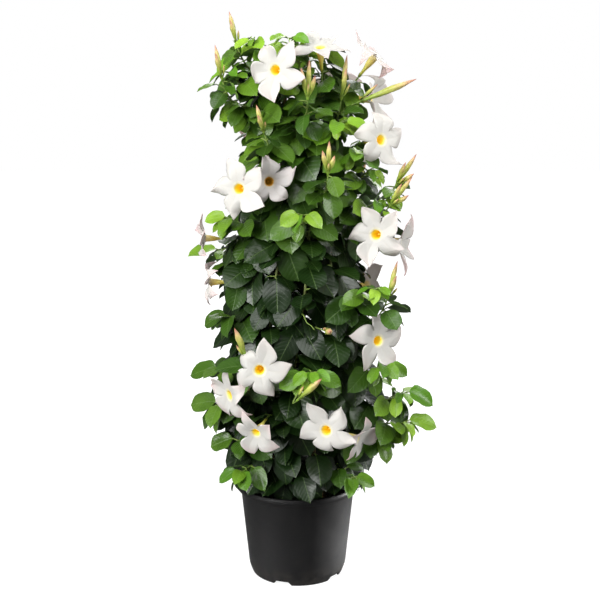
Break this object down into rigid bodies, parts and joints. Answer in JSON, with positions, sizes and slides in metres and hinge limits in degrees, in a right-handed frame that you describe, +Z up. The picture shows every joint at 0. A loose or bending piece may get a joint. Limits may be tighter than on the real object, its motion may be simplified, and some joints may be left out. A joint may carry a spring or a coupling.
{
  "type": "potted mandevilla",
  "caption": "Climbing plant with white trumpet flowers and glossy leaves, trained up a cane tower in a round black nursery pot.",
  "frame": {"origin": "the middle of the pot's base, on the surface that the pot stands on", "axes": "+Z up the plant, -Y towards the viewer of its fullest side, +X to that viewer's right"},
  "size_m": [0.3794, 0.3234, 0.8621],
  "materials": {
    "pot": "fine matt moulded plastic",
    "soil": "crumbly dark potting mix",
    "bamboo": "dry cane, satin",
    "wire": "dark green coated wire",
    "foliage": "glossy leaves, paler and matt underneath",
    "petals": "soft satin petals, yellow in the throat",
    "buds": "satin, green-yellow with pink tips"
  },
  "bodies": {
    "root": {"pot": "pot", "soil": "soil", "cane_1": "bamboo", "cane_2": "bamboo", "cane_3": "bamboo", "cane_4": "bamboo", "hoop_middle": "wire", "hoop_top": "wire", "bloom_01": "petals", "bloom_02": "petals", "bloom_03": "petals", "bloom_04": "petals", "bloom_05": "petals", "bloom_06": "petals", "bloom_07": "petals", "bloom_08": "petals", "bloom_09": "petals", "bloom_10": "petals", "bloom_11": "petals", "bloom_12": "petals", "bloom_13": "petals", "bloom_14": "petals", "bloom_15": "petals", "bloom_16": "petals", "bloom_17": "petals", "bloom_18": "petals", "bloom_19": "petals", "bloom_20": "petals", "bloom_21": "petals", "bloom_22": "petals", "bloom_23": "petals", "buds_01": "buds", "buds_02": "buds", "buds_03": "buds", "buds_04": "buds", "buds_05": "buds", "buds_06": "buds", "buds_07": "buds", "buds_08": "buds", "buds_09": "buds", "buds_10": "buds", "buds_11": "buds", "buds_12": "buds", "buds_13": "buds", "vine_01": "foliage", "vine_02": "foliage", "vine_03": "foliage", "vine_04": "foliage", "vine_05": "foliage", "vine_06": "foliage", "vine_07": "foliage", "vine_08": "foliage", "vine_09": "foliage", "vine_10": "foliage"}
  },
  "joints": []
}
